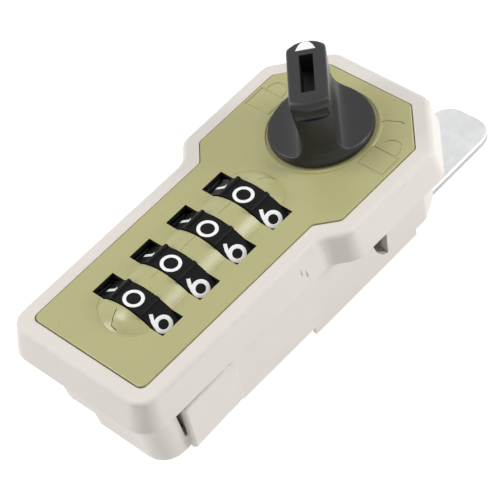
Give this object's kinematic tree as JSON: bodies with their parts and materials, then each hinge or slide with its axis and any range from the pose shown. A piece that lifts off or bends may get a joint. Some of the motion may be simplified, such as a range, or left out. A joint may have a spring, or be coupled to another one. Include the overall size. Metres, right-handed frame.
{
  "type": "combination locker lock",
  "caption": "Combination cam lock for a locker door: number dials in a barrel front plate, a quarter-turn knob with a master-key slot, and a flat latch plate behind.",
  "frame": {"origin": "on the bezel's rear rim, which seats on the door, in the middle of the rim's lower end", "axes": "+Z out of the face, +Y along the lock from the dials to the knob, +X across it"},
  "size_m": [0.064, 0.1497, 0.0711],
  "materials": {
    "shell": "fine matt moulded plastic",
    "plate": "satin olive-gold moulded plastic",
    "dial_black": "matt black",
    "knob_charcoal": "satin dark moulded plastic",
    "nylon": "plain natural nylon",
    "steel": "zinc plated",
    "cam_steel": "galvanised, bright",
    "brass": "plain turned",
    "spring_steel": "tempered spring strip and wire"
  },
  "bodies": {
    "case": {"front_bezel": "shell", "faceplate": "plate", "rear_housing": "shell", "back_cover": "shell", "side_clip_left": "shell", "side_clip_right": "shell", "dial_axle": "steel", "dial_detent_spring": "spring_steel", "knob_click_spring": "spring_steel", "spindle_bush": "brass", "button_spring": "spring_steel", "case_screw_1": "steel", "case_screw_2": "steel", "case_screw_3": "steel", "case_screw_4": "steel", "cover_screw_1": "steel", "cover_screw_2": "steel", "cover_screw_3": "steel", "cover_screw_4": "steel"},
    "dial_1": {"dial_wheel_1": "dial_black", "code_sleeve_1": "nylon"},
    "dial_2": {"dial_wheel_2": "dial_black", "code_sleeve_2": "nylon"},
    "dial_3": {"dial_wheel_3": "dial_black", "code_sleeve_3": "nylon"},
    "dial_4": {"dial_wheel_4": "dial_black", "code_sleeve_4": "nylon"},
    "turning_knob": {"knob": "knob_charcoal", "knob_spindle": "steel", "knob_pin": "steel", "drive_disc": "steel", "cam": "cam_steel", "cam_washer": "steel", "cam_screw": "steel", "plunger_spring": "spring_steel"},
    "slide": {"locking_slide": "steel"},
    "plunger": {"master_key_plunger": "dial_black"},
    "change_button": {"code_change_button": "dial_black"}
  },
  "joints": [
    {"name": "dial_1_spin", "type": "hinge", "parent": "case", "child": "dial_1", "pos_m": [0, 0.024, -0.004], "axis": [0, 1, 0], "continuous": true},
    {"name": "dial_2_spin", "type": "hinge", "parent": "case", "child": "dial_2", "pos_m": [0, 0.03773, -0.004], "axis": [0, 1, 0], "continuous": true},
    {"name": "dial_3_spin", "type": "hinge", "parent": "case", "child": "dial_3", "pos_m": [0, 0.05146, -0.004], "axis": [0, 1, 0], "continuous": true},
    {"name": "dial_4_spin", "type": "hinge", "parent": "case", "child": "dial_4", "pos_m": [0, 0.06519, -0.004], "axis": [0, 1, 0], "continuous": true},
    {"name": "knob_turn", "type": "hinge", "parent": "case", "child": "turning_knob", "pos_m": [0, 0.0949, 0], "axis": [0, 0, 1], "range_deg": [-90, 0]},
    {"name": "slide_travel", "type": "slide", "parent": "case", "child": "slide", "axis": [0, 1, 0], "range_m": [-0.0034, 0]},
    {"name": "plunger_press", "type": "slide", "parent": "turning_knob", "child": "plunger", "axis": [0, 0, 1], "range_m": [-0.0018, 0], "stiffness_N_per_m": 150, "springref_m": 0.001, "deforming": ["plunger_spring"]},
    {"name": "change_button_press", "type": "slide", "parent": "case", "child": "change_button", "axis": [0, 0, 1], "range_m": [0, 0.002], "stiffness_N_per_m": 150, "springref_m": -0.001, "deforming": ["button_spring"]}
  ],
  "couplings": [
    {"joint": "slide_travel", "follows": "knob_turn", "m_per_rad": 0.0021645}
  ]
}
